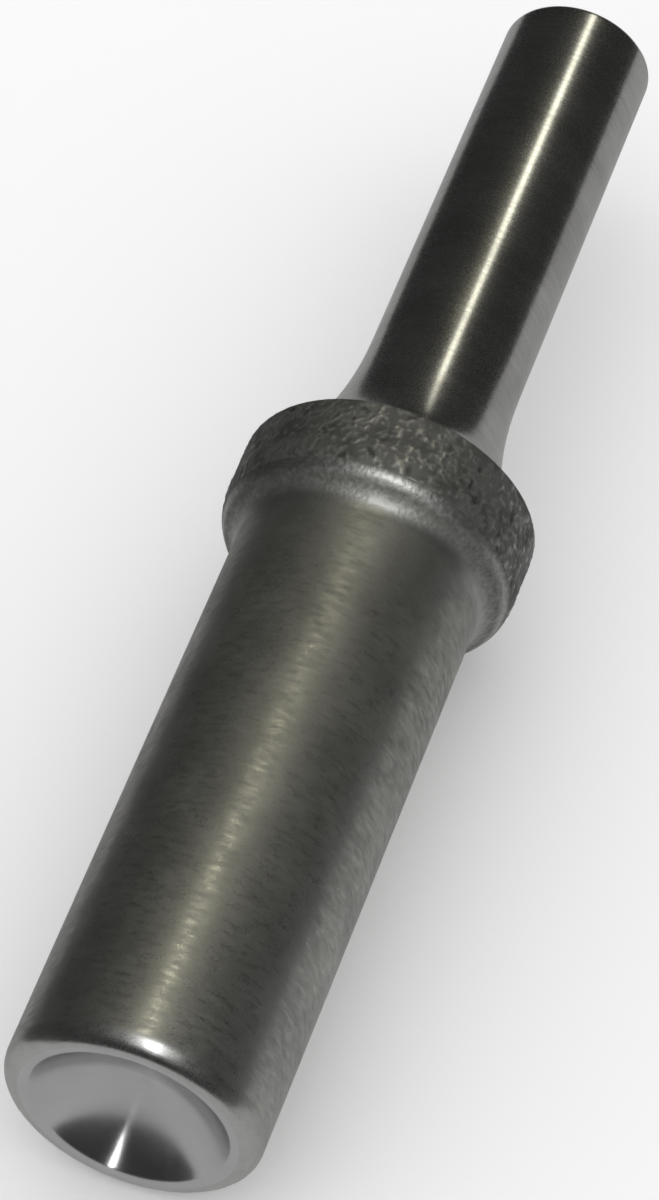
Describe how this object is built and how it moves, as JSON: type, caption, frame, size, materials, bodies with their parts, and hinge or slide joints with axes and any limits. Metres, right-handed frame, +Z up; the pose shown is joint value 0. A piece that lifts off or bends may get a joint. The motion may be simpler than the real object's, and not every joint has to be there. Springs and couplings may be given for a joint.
{
  "type": "rivet set",
  "caption": "One-piece steel rivet set for a rivet hammer: ground shank, stop collar, straight body and a cupped nose that forms the rivet's head.",
  "frame": {"origin": "centre of the struck face at the end of the shank, on the tool's axis", "axes": "+X along the tool's axis from the struck face to the cupped nose, +Z up with the tool lying on its side"},
  "size_m": [0.0889, 0.0194, 0.0194],
  "materials": {
    "tool_steel": "ground shank, forged collar band, satin body, polished cup"
  },
  "bodies": {
    "root": {"rivet_set": "tool_steel"}
  },
  "joints": []
}
